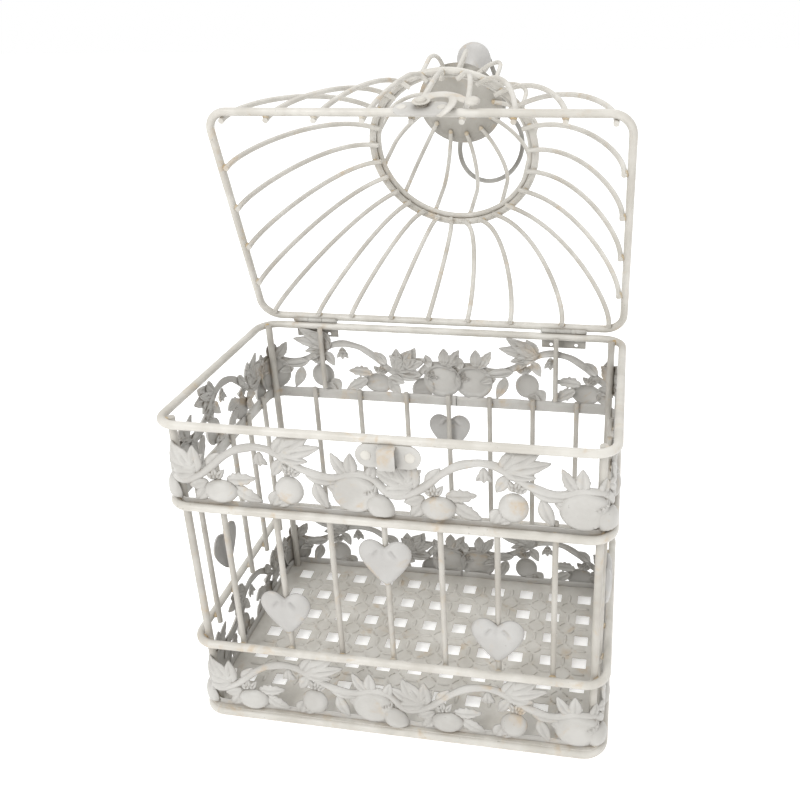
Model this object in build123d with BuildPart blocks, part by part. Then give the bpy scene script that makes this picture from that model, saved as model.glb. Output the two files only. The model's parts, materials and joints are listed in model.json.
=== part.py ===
"""Wire wedding card box: a rectangular bird-cage box with a hinged, domed lid.

The cage stands on its base rail. The origin is the middle of the floor panel's top face,
+X points right, +Y points to the hinged back and +Z points up. The lid is modelled open,
leaning back on its hinges. Sizes are in millimetres.
"""
from math import atan2, cos, hypot, pi, radians, sin, sqrt
import os

from build123d import *

# ---- driving dimensions: the cage ----
width = 254.0               # between the side rails' centre lines
depth = 154.0               # between the front and back rails' centre lines
lower_rail_height = 54.0    # rail heights, from the base rail's centre line
upper_rail_height = 154.3
rim_height = 207.0
rail_dia = 5.0
bar_dia = 3.4
post_dia = 4.6
sheet = 0.8                 # thickness of all pressed sheet metal
corner_radius = 13.0        # of a rail's centre line
bar_pitch = 32.0            # front bars
back_bar_places = (-91, -57.5, -23, 7.5, 37, 67.5, 98)
side_bar_pitch = 25.8
bar_tail = 5.0              # how far a bar pokes below the lower rail
margin_height = 9.0         # plain strip along the bottom of each band
panel_hole = 9.5            # square holes punched in rows through the floor panel
panel_pitch = 21.7
panel_shift = 5.3           # the rows sit a little toward the back

# ---- driving dimensions: the lid ----
open_angle = 72.4           # between the open lid and the closed one
hinge_rise = 4.3            # hinge axis above the rim, and lid rim above the hinge axis
lid_depth = 154.3           # a little deeper than the cage, so the latch plate clears the rim
ring_radius = 59.6          # ring where the dome ribs meet
ring_front = 78.0           # ring's centre in front of the hinge axis
ring_height = 100.3         # above the lid rim
rib_dia = 3.4
rib_pitch = 29.7            # feet of the dome ribs along the front rail
back_rib_feet = (-118.8, -85, -61, -32.5, -6, 21.5, 51, 86, 118.8)
side_rib_pitch = 29.4
dome_rib_reach = 5.0        # free end of a dome rib inside the ring
crown_ring_dia = 4.0
crown_rib_count = 13
crown_rib_dia = 3.2
crown_drift = (-7.7, 4.3)   # sideways and forward drift of the crown's top from the ring
cap_place = (-7.7, 1.3)     # cap disc's and finial's centres, measured the same way
finial_place = (-8.0, 8.0)
cap_radius = 33.3
crown_height = 70.6         # underside of the cap disc above the crown ring
crown_top_radius = 27.0     # where the crown ribs end
knob_radius = 14.5
finial_height = 157.7       # finial's tip above the crown ring
eye_radius = 5.0
eye_dia = 2.4
link_half_width = 11.5
link_half_height = 28.0
link_end_radius = 11.4
link_dia = 4.0
link_askew = 20.0           # degrees that the link hangs out of true
handle_radius = 31.0
handle_dia = 4.0
handle_turn = 34.0          # degrees between the ring handle and the link
hinge_width = 30.0
hinge_offset = 87.5         # hinge centre, left and right of the middle
latch_x = 7.0               # middle of the latch and the keeper

# ---- values that follow ----
rail_r = rail_dia / 2
bar_r = bar_dia / 2
base_z = -(sheet + rail_r)
lower_z = base_z + lower_rail_height
upper_z = base_z + upper_rail_height
rim_z = base_z + rim_height
half_w = width / 2
half_d = depth / 2
band_inset = rail_r + sheet / 2
bar_inset = rail_r + sheet + bar_r
corner_inner = corner_radius - rail_r
post_inset = corner_radius - (corner_inner - post_dia / 2) / sqrt(2)
flat_length = width - 2 * corner_radius
flat_depth = depth - 2 * corner_radius
tilt = radians(open_angle)

hinge_origin = Vector(0, half_d, rim_z + hinge_rise)
lid_plane = Plane(origin=hinge_origin, x_dir=(1, 0, 0), z_dir=(0, sin(tilt), cos(tilt)))

os.makedirs("parts", exist_ok=True)


def keep(piece, name):
    """Label a finished piece and write it as its own STEP file."""
    piece.label = name
    export_step(piece, f"parts/{name}.step")


def on_plane(plane, x=0.0, y=0.0, z=0.0):
    """A plane parallel to the given one, with its origin moved within it."""
    return Plane(origin=plane.from_local_coords((x, y, z)), x_dir=plane.x_dir, z_dir=plane.z_dir)


def wire_along(path, dia):
    """Round wire swept along a path object."""
    with BuildPart() as wire:
        add(path)
        with BuildSketch(Plane(origin=path @ 0, z_dir=path % 0)):
            Circle(dia / 2)
        sweep()
    return wire.part


def rail_loop(plane, across, dia):
    """Rounded rectangle of wire, centred on the plane's origin."""
    half = across / 2
    with BuildLine(plane) as loop:
        FilletPolyline(
            (-half_w, -half), (half_w, -half), (half_w, half), (-half_w, half),
            radius=corner_radius, close=True,
        )
    return wire_along(loop.wire(), dia)


def round_ring(plane, radius, dia):
    """Ring of round wire lying in the plane."""
    with BuildPart() as ring:
        with BuildSketch(Plane(origin=plane.origin, x_dir=plane.x_dir, z_dir=-plane.y_dir)):
            with Locations((radius, 0)):
                Circle(dia / 2)
        revolve(axis=Axis(plane.origin, plane.z_dir))
    return ring.part


def upright_rods(places, dia, bottom, top):
    """Straight vertical wires at the given (x, y) places."""
    with BuildPart() as rods:
        with BuildSketch(Plane.XY.offset(bottom)):
            with Locations(*places):
                Circle(dia / 2)
        extrude(amount=top - bottom)
    return rods.part


# ---- cage frame ----
keep(rail_loop(Plane.XY.offset(base_z), depth, rail_dia), "base_rail")
keep(rail_loop(Plane.XY.offset(lower_z), depth, rail_dia), "lower_band_rail")
keep(rail_loop(Plane.XY.offset(upper_z), depth, rail_dia), "upper_band_rail")
keep(rail_loop(Plane.XY.offset(rim_z), depth, rail_dia), "top_rim")

post_x = half_w - post_inset
post_y = half_d - post_inset
post_corners = {
    "front_left": (-post_x, -post_y),
    "front_right": (post_x, -post_y),
    "back_left": (-post_x, post_y),
    "back_right": (post_x, post_y),
}
for corner, place in post_corners.items():
    keep(upright_rods([place], post_dia, 0, rim_z + rail_r / 2), f"corner_post_{corner}")

bar_bottom = lower_z - bar_tail
bar_top = upper_z - rail_r + margin_height
bar_y = half_d - bar_inset
bar_x = half_w - bar_inset
bar_steps = [k * bar_pitch for k in range(-3, 4)]
side_bar_steps = [k * side_bar_pitch for k in range(-2, 3)]
keep(upright_rods([(x, -bar_y) for x in bar_steps], bar_dia, bar_bottom, bar_top), "front_bars")
keep(upright_rods([(x, bar_y) for x in back_bar_places], bar_dia, bar_bottom, bar_top), "back_bars")
keep(upright_rods([(-bar_x, y) for y in side_bar_steps], bar_dia, bar_bottom, bar_top), "left_bars")
keep(upright_rods([(bar_x, y) for y in side_bar_steps], bar_dia, bar_bottom, bar_top), "right_bars")

strut_x = 83.0
strut_bottom = bar_top + 0.5
struts = [(-strut_x, bar_y), (strut_x, bar_y)]
keep(upright_rods(struts, bar_dia, strut_bottom, rim_z), "hinge_struts")


# ---- floor panel: punched sheet lying on the base rail ----
field_inset = rail_r + sheet + 0.5      # raised field's edge inside the rails' centre lines
field_corner = 21.0
field_rise = 0.2


def floor_panel():
    """Sheet on the base rail with a slightly raised field inside the posts, punched in rows."""
    with BuildPart() as panel:
        with BuildSketch(Plane.XY.offset(-sheet)):
            RectangleRounded(width, depth, corner_radius)
        extrude(amount=sheet - field_rise)
        with BuildSketch(Plane.XY.offset(-sheet)):
            RectangleRounded(width - 2 * field_inset, depth - 2 * field_inset, field_corner)
        extrude(amount=sheet)
        with BuildSketch(Plane.XY.offset(-sheet)):
            with Locations((0, panel_shift)):
                with GridLocations(panel_pitch, panel_pitch, 11, 6):
                    Rectangle(panel_hole, panel_hole)
        extrude(amount=sheet, mode=Mode.SUBTRACT)
    return panel.part


keep(floor_panel(), "floor_panel")


# ---- pressed bands of leaves and fruit ----
motif_length = 127.0        # one repeat of vine, leaves and fruit
vine_crest = -68.0          # a crest of the vine on the front wall
vine_mid = 32.5             # heights above the band's lower edge
vine_swing = 11.0
vine_width = 4.6
fruits = ((-25.0, 12.5, 9.0), (15.0, 17.0, 9.0), (54.5, 19.0, 12.5), (69.0, 11.0, 7.0))
leaves = ((-40.0, 33.0, 20.0), (-33.0, 30.0, -25.0), (22.0, 38.0, -40.0), (40.0, 26.0, 60.0))


def band(plane, length, crest, height):
    """Openwork strip: plain margin, waving vine, and fruit and leaves in its bends."""
    steps = int(length / 8)
    wave = []
    for i in range(steps + 1):
        x = -length / 2 + length * i / steps
        wave.append((x, vine_mid + vine_swing * cos(2 * pi * (x - crest) / motif_length)))
    with BuildPart() as strip:
        with BuildSketch(plane):
            with Locations((0, margin_height / 2)):
                Rectangle(length, margin_height)
            with BuildLine():
                Spline(*wave)
            trace(line_width=vine_width)
            for k in (-1, 0, 1, 2):
                start = crest + k * motif_length
                for along, up, radius in fruits:
                    if abs(start + along) < length / 2 - radius:
                        with Locations((start + along, up)):
                            Circle(radius)
                for along, up, lean in leaves:
                    if abs(start + along) < length / 2 - 10:
                        with Locations(Location((start + along, up), lean)):
                            Ellipse(4.5, 11.0)
            with Locations((0, height / 2)):
                Rectangle(length, height, mode=Mode.INTERSECT)
        extrude(amount=sheet / 2, both=True)
    return strip.part


def band_planes(z):
    """The upright planes of the four bands, seen from outside, from the given height up."""
    y = half_d - band_inset
    x = half_w - band_inset
    return {
        "front": Plane(origin=(0, -y, z), x_dir=(1, 0, 0), z_dir=(0, -1, 0)),
        "back": Plane(origin=(0, y, z), x_dir=(-1, 0, 0), z_dir=(0, 1, 0)),
        "left": Plane(origin=(-x, 0, z), x_dir=(0, -1, 0), z_dir=(-1, 0, 0)),
        "right": Plane(origin=(x, 0, z), x_dir=(0, 1, 0), z_dir=(1, 0, 0)),
    }


rim_gap = 4.0               # between the upper bands and the rim
upper_start = upper_z - rail_r
band_levels = {
    "upper": (upper_start, rim_z - rail_r - rim_gap - upper_start),
    "lower": (0.0, lower_z),
}
for level, (start_z, band_height) in band_levels.items():
    for side, plane in band_planes(start_z).items():
        length = flat_length if side in ("front", "back") else flat_depth
        crest = vine_crest if side in ("front", "back") else vine_crest / 2
        keep(band(plane, length, crest, band_height), f"{level}_band_{side}")


# ---- pressed hearts on the outside of the bars ----
def heart(plane, half):
    """Heart of sheet metal, centred on the plane's origin, point down."""
    with BuildPart() as leaf:
        with BuildSketch(plane):
            with BuildLine():
                ThreePointArc((0, -half), (0.72 * half, -0.3 * half), (half, 0.36 * half))
                ThreePointArc((half, 0.36 * half), (0.52 * half, 0.98 * half), (0, 0.62 * half))
                mirror(about=Plane.YZ)
            make_face()
        extrude(amount=sheet / 2, both=True)
    return leaf.part


def heart_plane(side, along, z):
    """Plane of a heart on one wall, at a distance along it and a height over the base rail."""
    wall = band_planes(base_z + z)[side]
    return on_plane(wall, along)


keep(heart(heart_plane("front", -2 * bar_pitch, 82.5), 15.5), "front_heart_left")
keep(heart(heart_plane("front", 0, 125.8), 15.5), "front_heart_middle")
keep(heart(heart_plane("front", 2 * bar_pitch, 78.0), 15.5), "front_heart_right")
keep(heart(heart_plane("back", -back_bar_places[3], 130.0), 15.0), "back_heart")
keep(heart(heart_plane("left", side_bar_pitch, 88.0), 15.5), "left_heart")
keep(heart(heart_plane("right", -side_bar_pitch, 88.0), 15.5), "right_heart")


# ---- keeper on the front of the cage, tucked under the rim ----
keeper_length = 36.0
keeper_height = 14.0
keeper_drop = 2.0           # keeper's top edge below the rim's centre line
keeper_y = -(half_d + sqrt(rail_r**2 - keeper_drop**2))
keeper_z = rim_z - keeper_drop - keeper_height / 2
keeper_plane = Plane(origin=(latch_x, keeper_y, keeper_z), x_dir=(1, 0, 0), z_dir=(0, -1, 0))
bridge_width = 9.6
bridge_rise = 5.3           # front of the bridge before the back of the plate
bridge_slope = 0.8
rivet_spacing = 24.0
rivet_hole_r = 1.5
rivet_head_r = 3.0
rivet_head = 0.7


def keeper():
    """Plate with rounded ends and a raised bridge, open left and right, for the latch's tail."""
    start = keeper_plane.from_local_coords((-bridge_width / 2, 0, 0))
    half = keeper_height / 2
    inner = bridge_rise - sheet
    with BuildPart() as plate:
        with BuildSketch(keeper_plane):
            RectangleRounded(keeper_length, keeper_height, half - 0.1)
            with GridLocations(rivet_spacing, 1, 2, 1):
                Circle(rivet_hole_r, mode=Mode.SUBTRACT)
        extrude(amount=sheet)
        with BuildSketch(Plane(origin=start, x_dir=(0, -1, 0), z_dir=(1, 0, 0))):
            with BuildLine():
                Polyline((0, half), (bridge_rise, half - bridge_slope),
                         (bridge_rise, bridge_slope - half), (0, -half), (0, sheet - half),
                         (inner, sheet + bridge_slope - half), (inner, half - sheet - bridge_slope),
                         (0, half - sheet), (0, half))
            make_face()
        extrude(amount=bridge_width)
    return plate.part


keep(keeper(), "keeper_plate")


def rivets(plane, places, shank):
    """Low domed rivets: heads on the plane's outer side, shanks behind it."""
    with BuildPart() as group:
        for x, y in places:
            centre = plane.from_local_coords((x, y, 0))
            with BuildSketch(Plane(origin=centre, x_dir=plane.x_dir, z_dir=-plane.y_dir)):
                with BuildLine():
                    Polyline((0, rivet_head), (0, -shank), (rivet_hole_r - 0.02, -shank),
                             (rivet_hole_r - 0.02, 0), (rivet_head_r, 0),
                             (0.9 * rivet_head_r, 0.5 * rivet_head),
                             (0.6 * rivet_head_r, 0.9 * rivet_head),
                             (0.2 * rivet_head_r, rivet_head), (0, rivet_head))
                make_face()
            revolve(axis=Axis(centre, plane.z_dir))
    return group.part


half_spacing = rivet_spacing / 2
keeper_rivet_places = [(-half_spacing, 0), (half_spacing, 0)]
keep(rivets(keeper_plane.offset(sheet), keeper_rivet_places, 1.6), "keeper_rivets")


# ---- hinges: the middle knuckle is fixed to the cage, the outer two to the lid ----
barrel_r = 1.45
pin_r = 0.75
pin_clearance = 0.05
pin_head = 0.6
knuckle = hinge_width / 3
knuckle_gap = 0.3
leaf_sheet = 0.7
leaf_gap = 0.02             # between a leaf and the rail that it wraps
leaf_wrap = 60.0            # degrees of the rail that a leaf wraps
neck_wrap = 85.0            # the same at a knuckle's neck
fixed_reach = 9.0           # a leaf's edge beyond the centre line of its rail
moving_reach = 6.0
leaf_hole_r = 1.2
leaf_hole_offset = 8.5
leaf_hole_inset = 2.2


def leaf_strip(plane, length, wrap, reach):
    """Sheet that wraps the outside of a rail and runs straight on; plane.X is the free edge."""
    inner = rail_r + leaf_gap
    outer = inner + leaf_sheet
    turn = radians(wrap)
    half_turn = turn / 2
    with BuildPart() as strip:
        with BuildSketch(plane):
            with BuildLine():
                Polyline((hinge_rise, inner), (hinge_rise + reach, inner),
                         (hinge_rise + reach, outer), (hinge_rise, outer))
                ThreePointArc((hinge_rise, outer),
                              (hinge_rise - outer * sin(half_turn), outer * cos(half_turn)),
                              (hinge_rise - outer * sin(turn), outer * cos(turn)))
                Line((hinge_rise - outer * sin(turn), outer * cos(turn)),
                     (hinge_rise - inner * sin(turn), inner * cos(turn)))
                ThreePointArc((hinge_rise - inner * sin(turn), inner * cos(turn)),
                              (hinge_rise - inner * sin(half_turn), inner * cos(half_turn)),
                              (hinge_rise, inner))
            make_face()
        extrude(amount=length)
    return strip.part


def knuckle_tube(plane, length):
    """Barrel of one knuckle, solid until the pin's bore is cut."""
    with BuildPart() as barrel:
        with BuildSketch(plane):
            Circle(barrel_r)
        extrude(amount=length)
    return barrel.part


def hinge_leaf(plane, middle, knuckle_starts, reach):
    """Leaf with knuckles; the plane's X runs from the hinge axis to the leaf's free edge."""
    length = knuckle - knuckle_gap
    starts = [middle + start + knuckle_gap / 2 for start in knuckle_starts]
    first = middle - hinge_width / 2
    pieces = [leaf_strip(on_plane(plane, z=first), hinge_width, leaf_wrap, reach)]
    for start in starts:
        pieces.append(leaf_strip(on_plane(plane, z=start), length, neck_wrap, reach / 2))
        pieces.append(knuckle_tube(on_plane(plane, z=start), length))
    hole_reach = hinge_rise + reach - leaf_hole_inset
    with BuildPart() as leaf:
        add(pieces)
        for place in (middle - leaf_hole_offset, middle + leaf_hole_offset):
            centre = on_plane(plane, hole_reach, 0, place)
            with BuildSketch(Plane(origin=centre.origin, x_dir=plane.x_dir, z_dir=plane.y_dir)):
                Circle(leaf_hole_r)
            extrude(amount=2 * rail_r, mode=Mode.SUBTRACT)
        with BuildSketch(on_plane(plane, z=first)):
            Circle(pin_r + pin_clearance)
        extrude(amount=hinge_width, mode=Mode.SUBTRACT)
    return leaf.part


def hinge_pin(centre_x):
    """Pin through the three knuckles, with a small head at each end."""
    start = (centre_x - hinge_width / 2, hinge_origin.Y, hinge_origin.Z)
    with BuildPart() as pin:
        with BuildSketch(Plane(origin=start, x_dir=(0, 1, 0), z_dir=(1, 0, 0))):
            Circle(pin_r)
        extrude(amount=hinge_width)
        for x in (centre_x - hinge_width / 2 - pin_head, centre_x + hinge_width / 2):
            with BuildSketch(Plane(origin=(x, start[1], start[2]), x_dir=(0, 1, 0), z_dir=(1, 0, 0))):
                Circle(barrel_r - 0.25)
            extrude(amount=pin_head)
    return pin.part


cage_leaf_plane = Plane(origin=hinge_origin, x_dir=(0, 0, -1), z_dir=(1, 0, 0))
lid_leaf_plane = Plane(origin=hinge_origin, x_dir=lid_plane.z_dir, z_dir=(-1, 0, 0))
middle_knuckle = [-knuckle / 2]
outer_knuckles = [-hinge_width / 2, knuckle / 2]
for name, side in (("left", -1), ("right", 1)):
    middle = side * hinge_offset
    fixed = hinge_leaf(cage_leaf_plane, middle, middle_knuckle, fixed_reach)
    moving = hinge_leaf(lid_leaf_plane, -middle, outer_knuckles, moving_reach)
    keep(fixed, f"hinge_fixed_leaf_{name}")
    keep(moving, f"hinge_moving_leaf_{name}")
    keep(hinge_pin(middle), f"hinge_pin_{name}")


# ---- lid rim, ring and dome ribs ----
lid_rim_plane = on_plane(lid_plane, 0, -lid_depth / 2, hinge_rise)
ring_plane = on_plane(lid_plane, 0, -ring_front, hinge_rise + ring_height)
keep(rail_loop(lid_rim_plane, lid_depth, rail_dia), "lid_rim")
keep(round_ring(ring_plane, ring_radius, rail_dia), "lid_ring")

rib_r = rib_dia / 2
rib_inset = rail_r + rib_r
rib_tip = hinge_rise - rail_r - 0.4     # feet poke a little below the lid rim
rib_top = hinge_rise + ring_height - rail_r - rib_r


def rail_foot(x, front, inset):
    """Foot of a rib inside the front or back rail, following the rail's rounded corners."""
    reach = corner_radius - inset
    bend = half_w - corner_radius
    side = 1 if x > 0 else -1
    beyond = max(abs(x) - bend, 0)
    angle = atan2(beyond, sqrt(corner_radius**2 - beyond**2))
    foot_x = x if beyond == 0 else side * (bend + reach * sin(angle))
    foot_in = corner_radius - reach * cos(angle)
    return foot_x, (lid_depth - foot_in if front else foot_in)


def dome_rib(foot_x, foot_front, angle):
    """Rib from its foot on the rim up and over to the lid ring, ending inside it."""
    end_x = ring_radius * cos(radians(angle))
    end_front = ring_front + ring_radius * sin(radians(angle))
    run = hypot(end_x - foot_x, end_front - foot_front)
    along = Vector(end_x - foot_x, foot_front - end_front, 0).normalized()
    direction = lid_plane.x_dir * along.X + lid_plane.y_dir * along.Y
    foot = lid_plane.from_local_coords((foot_x, -foot_front, 0))
    upright = Plane(origin=foot, x_dir=direction, z_dir=direction.cross(lid_plane.z_dir))
    rise = rib_top - hinge_rise
    with BuildLine(upright) as path:
        Line((0, rib_tip), (0, hinge_rise))
        Bezier((0, hinge_rise), (0, hinge_rise + 0.27 * rise), (0.49 * run, rib_top), (run, rib_top))
        Line((run, rib_top), (run + dome_rib_reach, rib_top))
    return wire_along(path.wire(), rib_dia)


def dome_ribs(feet, first_angle, last_angle):
    """Row of ribs whose ends are spread evenly along part of the lid ring."""
    rods = []
    for i, (x, front) in enumerate(feet):
        angle = first_angle + (last_angle - first_angle) * i / (len(feet) - 1)
        rods.append(dome_rib(x, front, angle))
    with BuildPart() as group:
        add(rods)
    return group.part


back_left = 215.0           # directions in which the corner ribs meet the ring,
back_right = 313.0          # turning from +X toward the lid's front
front_left = 147.0
front_right = 37.0
rib_steps = range(-4, 5)
back_feet = [rail_foot(x, False, rib_inset) for x in back_rib_feet]
front_feet = [rail_foot(k * rib_pitch, True, rib_inset) for k in rib_steps]
keep(dome_ribs(back_feet, back_left, back_right), "lid_ribs_back")
keep(dome_ribs(front_feet, front_left, front_right), "lid_ribs_front")

side_gap_left = (back_left - front_left) / 5
side_gap_right = (front_right + 360 - back_right) / 5
left_feet = [(rib_inset - half_w, k * side_rib_pitch) for k in (1, 2, 3, 4)]
right_feet = [(half_w - rib_inset, k * side_rib_pitch) for k in (1, 2, 3, 4)]
left_first = back_left - side_gap_left
left_last = front_left + side_gap_left
right_first = back_right + side_gap_right - 360
right_last = front_right - side_gap_right
keep(dome_ribs(left_feet, left_first, left_last), "lid_ribs_left")
keep(dome_ribs(right_feet, right_first, right_last), "lid_ribs_right")


# ---- crown: ring, ribs, cap disc and finial ----
crown_ring_inset = 3.6
crown_ring_radius = ring_radius - crown_ring_inset
crown_ring_lift = sqrt((rail_r + crown_ring_dia / 2) ** 2 - crown_ring_inset**2)
crown_base = on_plane(ring_plane, 0, 0, crown_ring_lift)
keep(round_ring(crown_base, crown_ring_radius, crown_ring_dia), "crown_ring")

crown_first_angle = -82.5   # first crown rib, turning from +X toward the lid's front
crown_shoulder = 33.0       # straight height of a crown rib
crown_rib_top = crown_height - crown_rib_dia / 2


def crown_rib(angle):
    """Rib standing on the crown ring and bending inward under the cap disc."""
    turn = radians(-angle)
    out = crown_base.x_dir * cos(turn) + crown_base.y_dir * sin(turn)
    foot = out * crown_ring_radius
    top = on_plane(crown_base, crown_drift[0], -crown_drift[1]).origin - crown_base.origin
    inward = top + out * crown_top_radius - foot
    run = inward.length
    direction = inward.normalized()
    upright = Plane(origin=crown_base.origin + foot, x_dir=direction,
                    z_dir=direction.cross(crown_base.z_dir))
    start = crown_ring_dia / 2 + 0.2
    curve = 0.552
    rise = crown_rib_top - crown_shoulder
    with BuildLine(upright) as path:
        Line((0, start), (0, crown_shoulder))
        Bezier((0, crown_shoulder), (0, crown_shoulder + curve * rise),
               (curve * run, crown_rib_top), (run, crown_rib_top))
    return wire_along(path.wire(), crown_rib_dia)


def crown_ribs():
    """All the crown ribs, evenly spaced."""
    step = 360 / crown_rib_count
    rods = [crown_rib(crown_first_angle + step * k) for k in range(crown_rib_count)]
    with BuildPart() as group:
        add(rods)
    return group.part


keep(crown_ribs(), "crown_ribs")

cap_plane = on_plane(crown_base, cap_place[0], -cap_place[1], crown_height)
finial_plane = on_plane(crown_base, finial_place[0], -finial_place[1])
cap_flat_radius = 28.5
cap_flare = 1.6


def section_plane(plane):
    """Upright half-section for a piece turned about the plane's own normal."""
    return Plane(origin=plane.origin, x_dir=plane.x_dir, z_dir=-plane.y_dir)


def cap_disc():
    """Flat disc with a flared edge, resting on the ends of the crown ribs."""
    with BuildPart() as disc:
        with BuildSketch(section_plane(cap_plane)):
            with BuildLine():
                Polyline((0, 0), (cap_flat_radius, 0), (cap_radius, cap_flare),
                         (cap_radius, cap_flare + sheet), (cap_flat_radius, sheet), (0, sheet),
                         (0, 0))
            make_face()
        revolve(axis=Axis(cap_plane.origin, cap_plane.z_dir))
    return disc.part


def finial():
    """Turned finial: foot, slender waist and round knob."""
    base = crown_height + sheet
    knob = finial_height - knob_radius
    with BuildPart() as turned:
        with BuildSketch(section_plane(finial_plane)):
            with BuildLine():
                Polyline((1.5, finial_height), (0, finial_height), (0, base), (10, base), (10, base + 1.5))
                Spline((10, base + 1.5), (3.4, base + 9), (4.6, base + 25), (3.4, knob - 28),
                       (6.0, knob - 15), (knob_radius, knob), (10.4, knob + 10),
                       (1.5, finial_height))
            make_face()
        revolve(axis=Axis(finial_plane.origin, finial_plane.z_dir))
    return turned.part


keep(cap_disc(), "cap_disc")
keep(finial(), "finial")

eye_height = finial_height + eye_radius + eye_dia / 2
eye_centre = finial_plane.from_local_coords((0, 0, eye_height))
eye_plane = Plane(origin=eye_centre, x_dir=finial_plane.z_dir, z_dir=(1, 0, 0))
keep(round_ring(eye_plane, eye_radius, eye_dia), "finial_eye")


# ---- latch on the front of the lid ----
lid_front = Plane(origin=hinge_origin, x_dir=(1, 0, 0), z_dir=-lid_plane.y_dir)
latch_plane = on_plane(lid_front, 0, 0, lid_depth + rail_r)
latch_plate_length = 34.0
latch_plate_low = -6.0      # heights above the hinge axis when the lid is closed
latch_plate_high = 12.0
latch_rivet_places = [(-5.5, 4.8), (18.3, 4.8)]
pivot_x = 5.8
pivot_up = 7.0
pivot_r = 1.8
pivot_clearance = 0.05
lever_gap = 1.0             # between the plate's face and the lever
lever_thickness = 1.0
washer_gap = 0.3
washer_r = 5.4


def latch_plate():
    """Plate with rounded ends, riveted to the front of the lid rim."""
    high = latch_plate_high - latch_plate_low
    with BuildPart() as plate:
        with BuildSketch(latch_plane):
            with Locations((latch_x, latch_plate_low + high / 2)):
                RectangleRounded(latch_plate_length, high, high / 2 - 0.5)
            with Locations(*latch_rivet_places):
                Circle(rivet_hole_r, mode=Mode.SUBTRACT)
            with Locations((pivot_x, pivot_up)):
                Circle(pivot_r, mode=Mode.SUBTRACT)
        extrude(amount=sheet)
    return plate.part


def latch_pivot():
    """Pivot rivet with a collar under the lever and a washer over it."""
    centre = latch_plane.from_local_coords((pivot_x, pivot_up, 0))
    collar = sheet + lever_gap - 0.3
    washer = sheet + lever_gap + lever_thickness + washer_gap
    with BuildPart() as pivot:
        with BuildSketch(Plane(origin=centre, x_dir=latch_plane.x_dir, z_dir=-latch_plane.y_dir)):
            with BuildLine():
                Polyline((0, washer + 2.6), (0, 0), (pivot_r - 0.02, 0), (pivot_r - 0.02, sheet),
                         (3.2, sheet), (3.2, collar), (pivot_r, collar), (pivot_r, washer),
                         (washer_r, washer), (washer_r, washer + 0.6), (3.4, washer + 0.6),
                         (3.1, washer + 1.6), (2.2, washer + 2.3), (0.9, washer + 2.6),
                         (0, washer + 2.6))
            make_face()
        revolve(axis=Axis(centre, latch_plane.z_dir))
    return pivot.part


def latch_lever():
    """Swan-neck lever: eye round the pivot, arched arm, thumb button and hooked tail."""
    lever_plane = latch_plane.offset(sheet + lever_gap)
    button = (35.6, 7.2)
    button_r = 4.6
    with BuildPart() as lever:
        with BuildSketch(lever_plane):
            with BuildLine():
                Spline((0.4, 7.0), (1.6, 13.0), (5.2, 18.4), (13.7, 22.2), (21.5, 21.0),
                       (28.5, 16.8), (33.2, 10.8), (35.0, 7.2), (31.4, 6.8), (28.6, 10.4),
                       (26.2, 10.0), (25.9, 3.2), (25.2, -4.5), (23.2, -11.0), (20.8, -13.0),
                       (18.9, -10.6), (20.3, -5.8), (21.3, -0.7), (21.2, 5.8), (19.4, 10.6),
                       (16.2, 12.9), (12.8, 11.4), (11.2, 7.0), (9.4, 3.0), (5.8, 1.6),
                       (2.2, 3.0), periodic=True)
            make_face()
            with Locations(button):
                Circle(button_r)
            with Locations((pivot_x, pivot_up)):
                Circle(pivot_r + pivot_clearance, mode=Mode.SUBTRACT)
        extrude(amount=lever_thickness)
        with BuildSketch(lever_plane.offset(lever_thickness)):
            with Locations(button):
                Circle(button_r)
        extrude(amount=1.6, taper=30)
    return lever.part


keep(latch_plate(), "latch_plate")
keep(rivets(latch_plane.offset(sheet), latch_rivet_places, sheet), "latch_plate_rivets")
keep(latch_pivot(), "latch_pivot")
keep(latch_lever(), "latch_lever")


# ---- handle: a link in the finial's eye and a ring hanging in the link ----
hang_gap = 0.4
link_drop = eye_radius - (eye_dia + link_dia) / 2 - hang_gap
link_top = eye_centre - Vector(0, 0, link_drop)
askew = radians(link_askew)
link_down = Vector(sin(askew), 0, -cos(askew))
upper_bend = link_top - Vector(0, 0, link_end_radius)
link_centre = upper_bend + link_down * (link_half_height - link_end_radius)
lower_bend = link_centre + link_down * (link_half_height - link_end_radius)
link_low = lower_bend - Vector(0, 0, link_end_radius)
link_plane = Plane(origin=link_centre, x_dir=(cos(askew), 0, sin(askew)), z_dir=(0, -1, 0))


def handle_link():
    """Long oval link of wire."""
    w = link_half_width
    h = link_half_height
    with BuildLine(link_plane) as loop:
        FilletPolyline((-w, -h), (w, -h), (w, h), (-w, h), radius=link_end_radius, close=True)
    return wire_along(loop.wire(), link_dia)


ring_gap = 0.9                 # rise of the ring handle over the link's low bend
ring_hang = (link_dia + handle_dia) / 2 + ring_gap - handle_radius
turn = radians(handle_turn)
handle_plane = Plane(origin=link_low + Vector(0, 0, ring_hang), x_dir=(0, 0, 1),
                     z_dir=(sin(turn), -cos(turn), 0))
keep(handle_link(), "handle_link")
keep(round_ring(handle_plane, handle_radius, handle_dia), "ring_handle")
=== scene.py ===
"""Looks of the wire wedding card box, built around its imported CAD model.

Metres, in the part's own frame: the origin is the middle of the floor panel's top face.
Band reliefs are laid out in millimetres as (along, up, out) and wrapped round the cage.
"""
import json
import math

import bmesh
import bpy
import numpy as np
from mathutils import Matrix, Vector


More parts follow.
